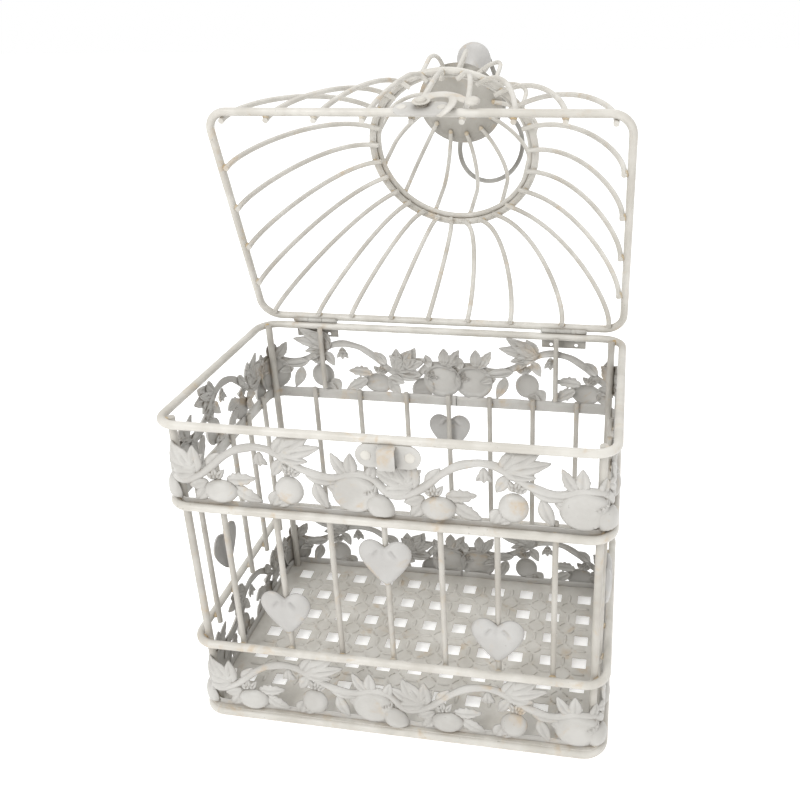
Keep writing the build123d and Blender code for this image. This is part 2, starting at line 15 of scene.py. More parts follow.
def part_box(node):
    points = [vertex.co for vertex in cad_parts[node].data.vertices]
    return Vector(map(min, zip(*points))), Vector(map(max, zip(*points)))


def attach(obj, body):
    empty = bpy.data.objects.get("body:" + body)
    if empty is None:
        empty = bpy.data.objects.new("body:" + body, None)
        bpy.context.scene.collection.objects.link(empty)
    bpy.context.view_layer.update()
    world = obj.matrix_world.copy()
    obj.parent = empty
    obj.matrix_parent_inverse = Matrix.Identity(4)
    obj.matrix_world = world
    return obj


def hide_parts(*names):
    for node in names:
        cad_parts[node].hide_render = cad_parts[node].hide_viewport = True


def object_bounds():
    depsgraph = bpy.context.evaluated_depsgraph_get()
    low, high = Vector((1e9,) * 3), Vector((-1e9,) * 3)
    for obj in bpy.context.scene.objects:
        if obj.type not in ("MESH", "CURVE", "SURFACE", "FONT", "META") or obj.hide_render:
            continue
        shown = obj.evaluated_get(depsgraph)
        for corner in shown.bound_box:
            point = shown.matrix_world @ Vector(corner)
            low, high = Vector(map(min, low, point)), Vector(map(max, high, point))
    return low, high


MM = 0.001
rng = np.random.default_rng(11)

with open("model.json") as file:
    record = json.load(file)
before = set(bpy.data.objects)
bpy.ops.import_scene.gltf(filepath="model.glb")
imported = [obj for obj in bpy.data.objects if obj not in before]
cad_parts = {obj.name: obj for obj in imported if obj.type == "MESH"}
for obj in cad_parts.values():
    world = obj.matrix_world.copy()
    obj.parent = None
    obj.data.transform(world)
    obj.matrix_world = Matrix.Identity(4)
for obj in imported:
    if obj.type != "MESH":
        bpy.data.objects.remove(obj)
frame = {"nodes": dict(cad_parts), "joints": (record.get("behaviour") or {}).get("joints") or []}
frame_low, frame_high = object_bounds()


# ---------------------------------------------------------------- sizes from the frame
def edges(node):
    """Lowest and highest corner of a CAD node, in millimetres."""
    low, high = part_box(node)
    return np.array(low) / MM, np.array(high) / MM


RAIL_R = 2.5
BAR_R = 1.7
SHEET = 0.8
SKIN = SHEET / 2              # front face of a pressed sheet, from its middle
CORNER = 13.0
rim_low, rim_high = edges("top_rim")
HALF_W = (rim_high[0] - rim_low[0]) / 2 - RAIL_R
HALF_D = (rim_high[1] - rim_low[1]) / 2 - RAIL_R
RIM_Z = rim_high[2] - RAIL_R
UPPER_Z = edges("upper_band_rail")[1][2] - RAIL_R
LOWER_Z = edges("lower_band_rail")[1][2] - RAIL_R
BASE_Z = edges("base_rail")[1][2] - RAIL_R
BAND_INSET = RAIL_R + SHEET / 2
BAR_INSET = RAIL_R + SHEET + BAR_R

hinge = next(j for j in frame["joints"] if j["name"] == "lid_hinge")
HINGE = np.array(hinge["pos_m"]) / MM
OPEN = math.radians(hinge["range_deg"][1])
LID_FRONT = np.array([0.0, -math.cos(OPEN), math.sin(OPEN)])
LID_UP = np.array([0.0, math.sin(OPEN), math.cos(OPEN)])
pivot_joint = next(j for j in frame["joints"] if j["name"] == "latch_swing")
PIVOT = np.array(pivot_joint["pos_m"]) / MM


def lid_point(x, front, up):
    """Point of the open lid: distance in front of the hinge axis and height over it."""
    return HINGE + np.array([x, 0, 0]) + LID_FRONT * front + LID_UP * up


# ---------------------------------------------------------------- meshes
class Shape:
    """Vertices and faces gathered from many small closed shells."""

    def __init__(self):
        self.points = []
        self.faces = []
        self.count = 0

    def add(self, points, faces):
        points = np.asarray(points, float).reshape(-1, 3)
        self.points.append(points)
        self.faces += [tuple(i + self.count for i in face) for face in faces]
        self.count += len(points)

    def build(self, name, material, body, slot=None, replaces=()):
        mesh = bpy.data.meshes.new(name)
        mesh.from_pydata((np.vstack(self.points) * MM).tolist(), [], self.faces)
        mesh.validate()
        solid = bmesh.new()
        solid.from_mesh(mesh)
        bmesh.ops.recalc_face_normals(solid, faces=solid.faces)
        solid.to_mesh(mesh)
        solid.free()
        mesh.materials.append(material)
        piece = bpy.data.objects.new(name, mesh)
        bpy.context.scene.collection.objects.link(piece)
        mesh.shade_smooth()
        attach(piece, body)
        if replaces:
            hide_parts(*replaces)
        return piece


def grid_faces(rows, cols, start=0, flip=False, wrap_cols=False):
    faces = []
    last = cols if wrap_cols else cols - 1
    for i in range(rows - 1):
        for j in range(last):
            k = (j + 1) % cols
            a, b = start + i * cols + j, start + i * cols + k
            c, d = start + (i + 1) * cols + k, start + (i + 1) * cols + j
            faces.append((a, d, c, b) if flip else (a, b, c, d))
    return faces


def sheet_shell(shape, front, wrap, thickness=SHEET):
    """Closed shell from a (rows, cols, 3) patch of (along, up, out); its back lies behind it."""
    rows, cols = front.shape[:2]
    back = front.copy()
    back[..., 2] -= thickness
    points = np.vstack([front.reshape(-1, 3), back.reshape(-1, 3)])
    n = rows * cols
    faces = grid_faces(rows, cols, 0) + grid_faces(rows, cols, n, flip=True)
    border = [j for j in range(cols)]
    border += [i * cols + cols - 1 for i in range(1, rows)]
    border += [(rows - 1) * cols + j for j in range(cols - 2, -1, -1)]
    border += [i * cols for i in range(rows - 2, 0, -1)]
    for a, b in zip(border, border[1:] + border[:1]):
        faces.append((b, a, a + n, b + n))
    shape.add(wrap(points), faces)


def round_shell(shape, rings, spokes, outline, height, wrap, thickness=SHEET):
    """Closed domed shell: outline(angle) gives the edge, height(share, angle) the relief."""
    share = np.linspace(1 / rings, 1, rings)
    angle = np.linspace(0, 2 * math.pi, spokes, endpoint=False)
    edge = np.array([outline(a) for a in angle])
    centre = np.array([[edge[:, 0].mean(), edge[:, 1].mean()]])
    front = np.zeros((rings, spokes, 3))
    for i, r in enumerate(share):
        front[i, :, :2] = centre + (edge - centre) * r
        front[i, :, 2] = [height(r, a) for a in angle]
    top = np.array([[centre[0, 0], centre[0, 1], height(0, 0)]])
    back = front.copy()
    back[..., 2] -= thickness
    under = top - [[0, 0, thickness]]
    n = rings * spokes
    points = np.vstack([front.reshape(-1, 3), back.reshape(-1, 3), top, under])
    faces = grid_faces(rings, spokes, 0, True, True) + grid_faces(rings, spokes, n, False, True)
    for j in range(spokes):
        k = (j + 1) % spokes
        outer, outer_next = (rings - 1) * spokes + j, (rings - 1) * spokes + k
        faces.append((outer, outer_next, outer_next + n, outer + n)[::-1])
        faces.append((2 * n, j, k))
        faces.append((2 * n + 1, n + k, n + j))
    shape.add(wrap(points), faces)


def tube(shape, path, radii, sides=10, squash=1.0, side_axis=None):
    """Closed round tube along a path of points; squash flattens it along side_axis."""
    path = np.asarray(path, float)
    tangent = np.gradient(path, axis=0)
    tangent /= np.linalg.norm(tangent, axis=1)[:, None]
    ref = np.array(side_axis if side_axis is not None else [0.0, 0.0, 1.0])
    points = []
    for p, t, r in zip(path, tangent, np.broadcast_to(radii, len(path))):
        flat = ref - t * np.dot(ref, t)
        if np.linalg.norm(flat) < 1e-6:
            flat = np.cross(t, [1.0, 0.0, 0.0])
        flat /= np.linalg.norm(flat)
        across = np.cross(t, flat)
        for k in range(sides):
            a = 2 * math.pi * k / sides
            points.append(p + across * r * math.cos(a) + flat * r * squash * math.sin(a))
    n = len(path)
    faces = grid_faces(n, sides, 0, True, True)
    faces.append(tuple(range(sides)))
    faces.append(tuple(range((n - 1) * sides, n * sides))[::-1])
    shape.add(points, faces)


def smooth_path(points, steps):
    """Catmull-Rom curve through the points."""
    p = np.asarray(points, float)
    p = np.vstack([2 * p[0] - p[1], p, 2 * p[-1] - p[-2]])
    out = []
    for i in range(1, len(p) - 2):
        for t in np.linspace(0, 1, steps, endpoint=False):
            a, b, c, d = p[i - 1], p[i], p[i + 1], p[i + 2]
            out.append(0.5 * (2 * b + (c - a) * t + (2 * a - 5 * b + 4 * c - d) * t**2
                              + (3 * b - a - 3 * c + d) * t**3))
    out.append(p[-2])
    return np.array(out)


def lump(shape, centre, size, sides=8, rows=5, uneven=0.18):
    """Small uneven blob, such as a weld bead."""
    size = np.broadcast_to(size, 3)
    points = [[0, 0, -1]]
    for i in range(1, rows):
        a = math.pi * i / rows
        for k in range(sides):
            b = 2 * math.pi * k / sides
            points.append([math.sin(a) * math.cos(b), math.sin(a) * math.sin(b), -math.cos(a)])
    points.append([0, 0, 1])
    points = np.array(points)
    points *= 1 + uneven * (rng.random((len(points), 1)) - 0.5)
    faces = [(0, 1 + (k + 1) % sides, 1 + k) for k in range(sides)]
    faces += grid_faces(rows - 1, sides, 1, False, True)
    top = len(points) - 1
    ring = 1 + (rows - 2) * sides
    faces += [(top, ring + k, ring + (k + 1) % sides) for k in range(sides)]
    shape.add(points * size + np.asarray(centre, float), faces)


# ---------------------------------------------------------------- materials
def socket_value(shader, **values):
    for name, value in values.items():
        shader.inputs[name.replace("_", " ")].default_value = value


def painted(name, base, shade, stain, stain_and_shade_amount=0.45, chips=0.5, rough=0.42):
    """Hand-painted metal: uneven tone, tan staining, dark chips, and a tan darkening of the corners
    that is partly grime and partly painted shade.
    """
    material = bpy.data.materials.new(name)
    material.use_nodes = True
    tree = material.node_tree
    nodes, links = tree.nodes, tree.links
    shader = nodes["Principled BSDF"]
    where = nodes.new("ShaderNodeTexCoord").outputs["Object"]

    def noise(scale, detail=3.0, roughness=0.55, distortion=0.0):
        node = nodes.new("ShaderNodeTexNoise")
        node.inputs["Scale"].default_value = scale
        node.inputs["Detail"].default_value = detail
        node.inputs["Roughness"].default_value = roughness
        node.inputs["Distortion"].default_value = distortion
        links.new(where, node.inputs["Vector"])
        return node.outputs["Fac"]

    def ramp(value, low, high, start=0.0, end=1.0):
        node = nodes.new("ShaderNodeMapRange")
        node.interpolation_type = "SMOOTHSTEP"
        node.inputs["From Min"].default_value = low
        node.inputs["From Max"].default_value = high
        node.inputs["To Min"].default_value = start
        node.inputs["To Max"].default_value = end
        links.new(value, node.inputs["Value"])
        return node.outputs["Result"]

    def mix(factor, first, second):
        node = nodes.new("ShaderNodeMix")
        node.data_type = "RGBA"
        node.blend_type = "MIX"
        links.new(factor, node.inputs["Factor"])
        for value, key in ((first, "A"), (second, "B")):
            target = [s for s in node.inputs if s.name == key and s.type == "RGBA"][0]
            if isinstance(value, tuple):
                target.default_value = (*value, 1)
            else:
                links.new(value, target)
        return [s for s in node.outputs if s.type == "RGBA"][0]

    def times(first, second):
        node = nodes.new("ShaderNodeMath")
        node.operation = "MULTIPLY"
        for value, k in ((first, 0), (second, 1)):
            if isinstance(value, float):
                node.inputs[k].default_value = value
            else:
                links.new(value, node.inputs[k])
        return node.outputs["Value"]

    tone = mix(ramp(noise(38, 4), 0.34, 0.66), base, shade)
    # Painted shade: an ambient-occlusion mask darkens hollows, corners and the tight gaps between
    # parts towards dark tan, tinted like grime.
    hollow = nodes.new("ShaderNodeAmbientOcclusion")
    hollow.inputs["Distance"].default_value = 5 * MM
    hollow.samples = 4
    hollow_shade_and_dirt = ramp(hollow.outputs["AO"], 0.08, 0.55, 1.0, 0.0)
    patches = ramp(noise(55, 5, 0.65, 0.6), 0.55, 0.72)
    stain_share = times(patches, 0.35 + 0.4 * stain_and_shade_amount)
    stain_share = times(stain_share, ramp(noise(210, 3), 0.35, 0.6, 0.3, 1.0))
    tone = mix(stain_share, tone, stain)
    # The stain amount also sets how strongly this painted shade in the hollows shows.
    seam = times(times(hollow_shade_and_dirt, ramp(noise(85, 3), 0.40, 0.60, 0.15, 1.0)), stain_and_shade_amount)
    tone = mix(seam, tone, tuple(0.72 * c for c in stain))
    specks = ramp(noise(520, 2, 0.5), 0.70, 0.74)
    chip_share = times(times(specks, ramp(noise(33, 2), 0.5, 0.64)), chips)
    tone = mix(chip_share, tone, CHIP)
    links.new(tone, shader.inputs["Base Color"])
    uneven_gloss = ramp(noise(150, 3), 0.3, 0.7, rough - 0.08, rough + 0.12)
    links.new(uneven_gloss, shader.inputs["Roughness"])
    socket_value(shader, Specular_IOR_Level=0.42)
    height = nodes.new("ShaderNodeMath")
    height.operation = "ADD"
    links.new(noise(700, 2), height.inputs[0])
    links.new(times(noise(160, 3), 1.6), height.inputs[1])
    bump = nodes.new("ShaderNodeBump")
    bump.inputs["Strength"].default_value = 0.35
    bump.inputs["Distance"].default_value = 0.35 * MM
    links.new(height.outputs["Value"], bump.inputs["Height"])
    links.new(bump.outputs["Normal"], shader.inputs["Normal"])
    return material


TAN = (0.40, 0.29, 0.165)
RUST = (0.24, 0.13, 0.04)
BROWN = (0.16, 0.12, 0.08)
DARK_BROWN = (0.15, 0.115, 0.08)
CHIP = (0.10, 0.085, 0.07)
wire_paint = painted("wire_paint", (0.50, 0.483, 0.445), (0.41, 0.39, 0.35), TAN, 0.6)
bar_paint = painted("bar_paint", (0.41, 0.393, 0.358), (0.33, 0.31, 0.275), TAN, 0.8, 0.6, 0.5)
band_paint = painted("band_paint", (0.42, 0.41, 0.387), (0.355, 0.343, 0.32), TAN, 0.55, 0.4, 0.45)
heart_paint = painted("heart_paint", (0.39, 0.382, 0.367), (0.35, 0.34, 0.325), TAN, 0.5, 0.25, 0.45)
floor_paint = painted("floor_paint", (0.53, 0.513, 0.475), (0.43, 0.41, 0.37), TAN, 0.6, 0.35, 0.5)
weld_paint = painted("weld_paint", (0.46, 0.43, 0.37), (0.36, 0.27, 0.15), RUST, 0.9, 0.5, 0.38)
hinge_paint = painted("hinge_paint", (0.40, 0.39, 0.36), (0.20, 0.185, 0.16), BROWN, 0.9, 1.0, 0.4)
handle_paint = painted("handle_paint", (0.30, 0.29, 0.265), (0.20, 0.19, 0.17), DARK_BROWN, 0.7, 0.8)
cap_paint = painted("cap_paint", (0.34, 0.325, 0.295), (0.27, 0.255, 0.225), TAN, 0.7, 0.4, 0.5)

looks = {
    "floor_panel": floor_paint, "cap_disc": cap_paint, "finial": heart_paint,
    "keeper_plate": band_paint, "latch_plate": band_paint,
    "handle_link": handle_paint, "ring_handle": handle_paint,
}
for name, node in frame["nodes"].items():
    look = looks.get(name, wire_paint)
    if name.endswith("bars") or name.startswith("corner_post") or name == "hinge_struts":
        look = bar_paint
    if name.startswith(("hinge_fixed", "hinge_moving", "hinge_pin")):
        look = hinge_paint
    node.data.materials.clear()
    node.data.materials.append(look)


# ---------------------------------------------------------------- bands
BEND = CORNER - BAND_INSET
STRAIGHT_X = HALF_W - CORNER
STRAIGHT_Y = HALF_D - CORNER
ARC = BEND * math.pi / 2
ROUND = 4 * (STRAIGHT_X + STRAIGHT_Y + ARC)
PERIOD = 125.5                # length of one repeat of the vine
SEAM = ROUND / 2 - 13.0       # the strip's ends meet here, at the back
FIRST_CREST = -68.0           # the vine's first crest left of the front's middle
WALLS = ("front", "right", "back", "left")


def around(along):
    """Point and outward normal on the bands' rounded rectangle; 0 is the front's middle."""
    s = (along + STRAIGHT_X) % ROUND
    runs = [2 * STRAIGHT_X, ARC, 2 * STRAIGHT_Y, ARC] * 2
    corner = np.array([-STRAIGHT_X, -STRAIGHT_Y])
    heading = 0.0
    centre = corner
    for i, run in enumerate(runs):
        forward = np.array([math.cos(heading), math.sin(heading)])
        normal = np.array([forward[1], -forward[0]])
        if s <= run or i == len(runs) - 1:
            if i % 2 == 0:
                return centre + forward * s + normal * BEND, normal
            turn = heading + s / BEND
            normal = np.array([math.sin(turn), -math.cos(turn)])
            return centre + normal * BEND, normal
        s -= run
        if i % 2 == 0:
            centre = centre + forward * run
        else:
            heading += math.pi / 2
    return centre, normal


RAIL_COVER = 2.4              # height of a band hidden behind the rail


def band_wrap(level_z, top):
    """Maps (along, up, out) to the cage; reliefs flatten behind the rails."""
    def wrap(points):
        out = np.zeros_like(points)
        for i, (along, up, lift) in enumerate(points):
            spot, normal = around(along)
            room = min(max((up - RAIL_COVER) / 2.5, 0), 1)
            room *= min(max((top - RAIL_COVER - up) / 3.0, 0), 1)
            lift = lift * room if lift > SKIN else lift
            xy = spot + normal * lift
            out[i] = (xy[0], xy[1], level_z + up)
        return out
    return wrap


LEAF_ROWS = 13
LEAF_COLS = 9
CENTRE_FOLD = 0.55
VEIN_RISE = 0.28


def leaf(shape, wrap, along, up, angle, length, width, lift=2.0, bend=0.0, notch=0.0):
    """Veined leaf starting at (along, up) and pointing at angle degrees."""
    rows, cols = LEAF_ROWS, LEAF_COLS
    s = np.linspace(0, 1, rows)[:, None]
    t = np.linspace(-1, 1, cols)[None, :]
    half = width / 2 * np.sin(math.pi * np.clip(s, 0.02, 0.985) ** 0.82) ** 0.75
    half = half * (1 + notch * np.sin(9 * math.pi * s))
    x = length * s + 0 * t
    y = half * t + bend * length * s**2
    rise = np.sin(math.pi * np.clip(s * 0.9 + 0.07, 0, 1))
    fold = 1 - CENTRE_FOLD * t**2 - CENTRE_FOLD * np.exp(-((t / 0.2) ** 2))
    veins = VEIN_RISE * np.sin(20 * s - 5 * np.abs(t)) * np.abs(t) * (1 - np.abs(t) * 0.4)
    z = SKIN + lift * rise * fold + veins * rise
    c, d = math.cos(math.radians(angle)), math.sin(math.radians(angle))
    front = np.stack([along + x * c - y * d, up + x * d + y * c, z], axis=-1)
    sheet_shell(shape, front[:, ::-1], wrap)


def fruit(shape, wrap, along, up, wide, tall, height, angle=0.0, dish=False):
    """Rounded fruit, or a shallow dish with a raised lip."""
    c, d = math.cos(math.radians(angle)), math.sin(math.radians(angle))

    def outline(a):
        x, y = wide / 2 * math.cos(a), tall / 2 * math.sin(a)
        return along + x * c - y * d, up + x * d + y * c

    def relief(r, a):
        if dish:
            return SKIN + height * (0.45 + 0.55 * r**3) * math.sqrt(max(1 - r**10, 0))
        return SKIN + height * math.sqrt(max(1 - (0.97 * r) ** 2.2, 0))

    round_shell(shape, 7, 24, outline, relief, wrap)


def calyx(shape, wrap, along, up, angle, size):
    """Crown of three short lobes with beads between them, at a fruit's top."""
    for turn in (-48, 0, 48):
        leaf(shape, wrap, along, up, angle + turn, size, size * 0.55, 2.6)
    a = math.radians(angle)
    for k in (-1, 0, 1):
        x = along + 0.35 * size * math.cos(a) - k * 0.3 * size * math.sin(a)
        y = up + 0.35 * size * math.sin(a) + k * 0.3 * size * math.cos(a)
        fruit(shape, wrap, x, y, size * 0.3, size * 0.3, 3.6)


VINE_HALF = 2.3
VINE_RISE = 2.1
VINE = ((-53, 16.7), (-44, 16.8), (-34, 22.3), (-24, 32), (-14, 38.7), (-2, 41.5), (7, 40),
        (15, 35), (23, 29.5), (34, 25.5), (42, 25), (51, 28.5), (58, 29), (65.4, 26.8))


def vine_height(along):
    """Height of the vine's centre line at a distance from its crest, repeating."""
    xs = np.array([p[0] for p in VINE] + [VINE[0][0] + PERIOD])
    ys = np.array([p[1] for p in VINE] + [VINE[0][1]])
    xs = np.concatenate([xs[:-1] - PERIOD, xs, xs[1:] + PERIOD])
    ys = np.concatenate([ys[:-1], ys, ys[1:]])
    order = np.argsort(xs)
    fine = np.arange(-PERIOD, PERIOD, 1.0)
    rough = np.interp(fine, xs[order], ys[order])
    kernel = np.hanning(13)
    soft = np.convolve(rough, kernel / kernel.sum(), mode="same")
    place = (along + PERIOD / 2) % PERIOD - PERIOD / 2
    return float(np.interp(place, fine, soft))


def vine(shape, wrap, start, end, crest):
    """Half-round vine between two places along the band."""
    s = np.linspace(start, end, int((end - start) / 2.2) + 2)
    centre = np.array([vine_height(x - crest) for x in s])
    slope = np.gradient(centre, s)
    t = np.linspace(-1, 1, 7)[None, :]
    half = (VINE_HALF + 0.25 * np.sin(s * 0.31))[:, None]
    tilt = np.arctan(slope)[:, None]
    x = s[:, None] - half * t * np.sin(tilt)
    y = centre[:, None] + half * t * np.cos(tilt)
    z = SKIN + VINE_RISE * np.sqrt(np.clip(1 - 0.93 * t**2, 0, 1)) + 0 * x
    sheet_shell(shape, np.stack([x, y, z], axis=-1)[:, ::-1], wrap)


def motif(crest, add_leaf, add_fruit, add_calyx):
    """One repeat: every leaf, fruit and crown, placed along from the vine's crest."""
    # flattened fruit under the rising vine, between ragged leaves
    add_leaf(crest - 33, 17, 205, 12, 8, 2.0, -0.1)
    add_leaf(crest - 33, 14, 238, 13, 8, 2.2, -0.1)
    add_leaf(crest - 17, 15, -38, 18, 8.5, 2.4, 0.12, 0.12)
    add_leaf(crest - 21, 19, 8, 17, 8, 2.8, -0.05, 0.2)
    add_fruit(crest - 25, 11.5, 20, 15, 5.2, 4)
    add_calyx(crest - 27, 19, 100, 7.5)
    # leaves fanning over the vine's dip
    for angle, size, width in ((184, 18, 9), (153, 21, 10), (121, 20, 10), (88, 17, 9)):
        add_leaf(crest - 39, 22, angle, size, width, 2.8, 0.06, 0.05)
    add_leaf(crest - 32, 27, 40, 12, 7, 2.4, 0.1)
    # bud hanging from the crest
    add_leaf(crest + 0, 38, -90, 9, 5.5, 2.2)
    add_leaf(crest + 0, 35, -50, 6.5, 3.6, 2.0)
    add_leaf(crest + 0, 35, -130, 6.5, 3.6, 2.0)
    # broad leaves that reach up to the rail above
    for angle, size, width in ((55, 15, 8), (28, 25, 10), (8, 27, 9), (-16, 19, 8)):
        add_leaf(crest + 9, 38, angle, size, width, 3.2, 0.06, 0.05)
    add_leaf(crest + 13, 34, -128, 12, 7, 2.0, 0.1)
    # upright fruit with its crown and a leaf at its foot
    add_leaf(crest + 9, 13, 235, 11, 8.5, 2.4, 0.15)
    add_leaf(crest + 16, 9, 205, 12, 6.5, 2.0, 0.1)
    add_fruit(crest + 16, 15.5, 16.5, 18, 5.0, 0)
    add_calyx(crest + 17, 25, 75, 8)
    # pair of leaves between the fruits
    add_leaf(crest + 26, 26, -14, 20, 7.5, 2.4, 0.08)
    add_leaf(crest + 31, 21, -74, 17, 8, 2.6, 0.1)
    add_leaf(crest + 38, 20, -20, 12, 6, 2.2, 0.0)
    # round dish, its small companion and the leaves above them
    add_fruit(crest + 53.5, 16.5, 27, 25, 3.4, 0, True)
    add_fruit(crest + 68, 9, 15, 18, 5.0, 32)
    add_calyx(crest + 63.5, 17, 118, 7)
    add_leaf(crest + 50, 27, 128, 16, 7, 2.4, -0.08, 0.1)
    add_leaf(crest + 52, 28, 84, 13, 8, 2.6, 0.1, 0.05)
    add_leaf(crest + 62, 26, 66, 10, 6.5, 2.0, 0.1)
    for angle, size, width in ((148, 17, 8), (112, 18, 8.5), (38, 15, 7)):
        add_leaf(crest + 80, 24, angle, size, width, 2.6, 0.05, 0.05)


def margin_profile(level):
    """Heights of the plain margin's rows over the rail's centre line, from top to bottom."""
    if level == "upper":
        return np.array([4.9, 4.6, 4.0, 2.4, 0.8, -2.2, -2.5])[None, :]
    return np.array([7.6, 7.3, 6.7, 5.8, 4.9, RAIL_R + 1.2, RAIL_R + 0.9])[None, :]


def build_band(level, rail_z, top, first_crest):
    """One level of bands: a strip from the seam round the front and back to the seam."""
    wrap = band_wrap(rail_z, top)
    shapes = {wall: Shape() for wall in WALLS}
    half_front = STRAIGHT_X + ARC / 2
    half_side = half_front + 2 * STRAIGHT_Y + ARC
    stretches = (("back", SEAM - ROUND, -half_side), ("left", -half_side, -half_front),
                 ("front", -half_front, half_front), ("right", half_front, half_side),
                 ("back", half_side, SEAM))

    def wall_at(along):
        for wall, start, end in stretches:
            if start - 4 <= along <= end:
                return shapes[wall]
        return None

    def add_leaf(along, up, angle, length, width, lift=2.0, bend=0.0, notch=0.0):
        reach = up + length * math.sin(math.radians(angle))
        if reach > top - 2.5:
            length = length * max((top - 2.5 - up) / (reach - up), 0.35)
        if wall_at(along):
            leaf(wall_at(along), wrap, along, up, angle, length, width, lift, bend, notch)

    def add_fruit(along, up, wide, tall, lift, angle=0.0, dish=False):
        if wall_at(along):
            fruit(wall_at(along), wrap, along, up, wide, tall, lift, angle, dish)

    def add_calyx(along, up, angle, size):
        if wall_at(along):
            calyx(wall_at(along), wrap, along, up, angle, size)

    for repeat in range(-3, 4):
        motif(first_crest + repeat * PERIOD, add_leaf, add_fruit, add_calyx)
    for wall, start, end in stretches:
        vine(shapes[wall], wrap, start - 0.5, end + 0.5, first_crest)
        s = np.linspace(start - 0.2, end + 0.2, int((end - start) / 3) + 2)[:, None]
        v = margin_profile(level)
        ripple = 0.25 * np.sin(s * 0.23) * (v > 2)
        lip = np.where(v > v.max() - 0.7, 0.55, 0.0)
        front = np.stack([s + 0 * v, v + ripple, SKIN + lip + 0 * s], axis=-1)
        sheet_shell(shapes[wall], front, wrap)
    for wall in WALLS:
        node = f"{level}_band_{wall}"
        shapes[wall].build(node + "_relief", band_paint, "cage", "pressed_sheet", [node])


build_band("upper", UPPER_Z, RIM_Z - UPPER_Z, FIRST_CREST)
build_band("lower", BASE_Z, LOWER_Z - BASE_Z, FIRST_CREST)


# ---------------------------------------------------------------- hearts
HEART_RISE = 3.2
NOTCH_DEPTH = 0.8
CREASE_DEPTH = 1.5
CREASE_PLACE = (0.34, 0.40)   # middle of a crease, in shares of the heart's half height
CREASE_RUN = (0.62, -0.78)    # direction of the right crease
HEART_EDGE = smooth_path([(0, 0.67), (0.24, 0.88), (0.47, 0.96), (0.70, 0.92), (0.90, 0.75),
                          (1.0, 0.50), (0.98, 0.25), (0.86, -0.04), (0.67, -0.33),
                          (0.43, -0.63), (0.20, -0.88), (0, -1.0)], 5)


def heart_outline(a):
    """Edge of a unit heart, point down; a runs from the notch round to the notch again."""
    side = 1 if a <= math.pi else -1
    share = min(a, 2 * math.pi - a) / math.pi * (len(HEART_EDGE) - 1)
    places = np.arange(len(HEART_EDGE))
    x = np.interp(share, places, HEART_EDGE[:, 0])
    y = np.interp(share, places, HEART_EDGE[:, 1])
    return side * float(x), float(y)


def heart_piece(name, wall_axis, outward):
    """Crowned heart with a notch crease and two slanting creases, over a CAD heart."""
    low, high = edges(name)
    centre = (low + high) / 2
    half = (high[2] - low[2]) / 2
    side = np.array(wall_axis, float)
    out_axis = np.array(outward, float)

    def wrap(points):
        return (centre + np.outer(points[:, 0], side) + np.outer(points[:, 1], [0, 0, 1])
                + np.outer(points[:, 2], out_axis))

    def relief(r, a):
        x, y = heart_outline(a)
        x, y = x * r, y * r
        dome = HEART_RISE * max(1 - r**2.4, 0) ** 0.6
        notch = NOTCH_DEPTH * math.exp(-((x / 0.12) ** 2)) * min(max((y - 0.1) / 0.4, 0), 1)
        fold = 0.0
        for sign in (-1, 1):
            px, py = x * sign - CREASE_PLACE[0], y - CREASE_PLACE[1]
            run = px * CREASE_RUN[0] + py * CREASE_RUN[1]
            off = px * -CREASE_RUN[1] + py * CREASE_RUN[0]
            fold += CREASE_DEPTH * math.exp(-((off / 0.055) ** 2) - (run / 0.22) ** 4)
        return SKIN + dome - (notch + fold) * min(1, 1.6 * (1 - r) + 0.35)

    shape = Shape()
    round_shell(shape, 16, 56, lambda a: tuple(half * c for c in heart_outline(a)), relief, wrap)
    shape.build(name + "_relief", heart_paint, "cage", "pressed_sheet", [name])


for name in ("front_heart_left", "front_heart_middle", "front_heart_right"):
    heart_piece(name, (1, 0, 0), (0, -1, 0))
heart_piece("back_heart", (-1, 0, 0), (0, 1, 0))
heart_piece("left_heart", (0, -1, 0), (-1, 0, 0))
heart_piece("right_heart", (0, 1, 0), (1, 0, 0))


# ---------------------------------------------------------------- floor embossing
DASH_LENGTH = 8.6
DASH_WIDTH = 2.5
DASH_RISE = 1.0


def bump_pad(shape, x, y, angle):
    """Raised dash on the floor panel."""
    c, s = math.cos(math.radians(angle)), math.sin(math.radians(angle))

    def wrap(points):
        out = points.copy()
        out[:, 0] = x + points[:, 0] * c - points[:, 1] * s
        out[:, 1] = y + points[:, 0] * s + points[:, 1] * c
        return out

    def outline(a):
        x_share = math.copysign(abs(math.cos(a)) ** 0.6, math.cos(a))
        return DASH_LENGTH / 2 * x_share, DASH_WIDTH / 2 * math.sin(a)

    def relief(r, a):
        return 0.02 + DASH_RISE * math.sqrt(max(1 - r * r, 0))

    round_shell(shape, 3, 12, outline, relief, wrap, 0.1)


ARC_RADIUS = 5.4
ARC_HALF_ANGLE = 27
ARC_WIRE = 0.5


def ring_mark(shape, x, y, middle):
    """Raised arc on the floor panel, centred on the angle middle in degrees."""
    a = np.radians(np.linspace(middle - ARC_HALF_ANGLE, middle + ARC_HALF_ANGLE, 7))
    across, along = x + ARC_RADIUS * np.cos(a), y + ARC_RADIUS * np.sin(a)
    path = np.stack([across, along, 0.15 + 0 * a], axis=-1)
    tube(shape, path, ARC_WIRE, 6)


PITCH = 21.7                  # spacing of the punched holes
SHIFT = 5.3                   # the pattern lies this far behind the panel's middle
embossing = Shape()
for col in range(-5, 6):
    for row in range(6):
        x = col * PITCH
        y = SHIFT + (row - 2.5) * PITCH
        if row < 5:
            bump_pad(embossing, x, y + PITCH / 2, 0)
        if col < 5:
            bump_pad(embossing, x + PITCH / 2, y, 90)
        if row < 5 and col < 5:
            for corner in (45, 135, 225, 315):
                ring_mark(embossing, x + PITCH / 2, y + PITCH / 2, corner)
embossing.build("floor_embossing", floor_paint, "cage")


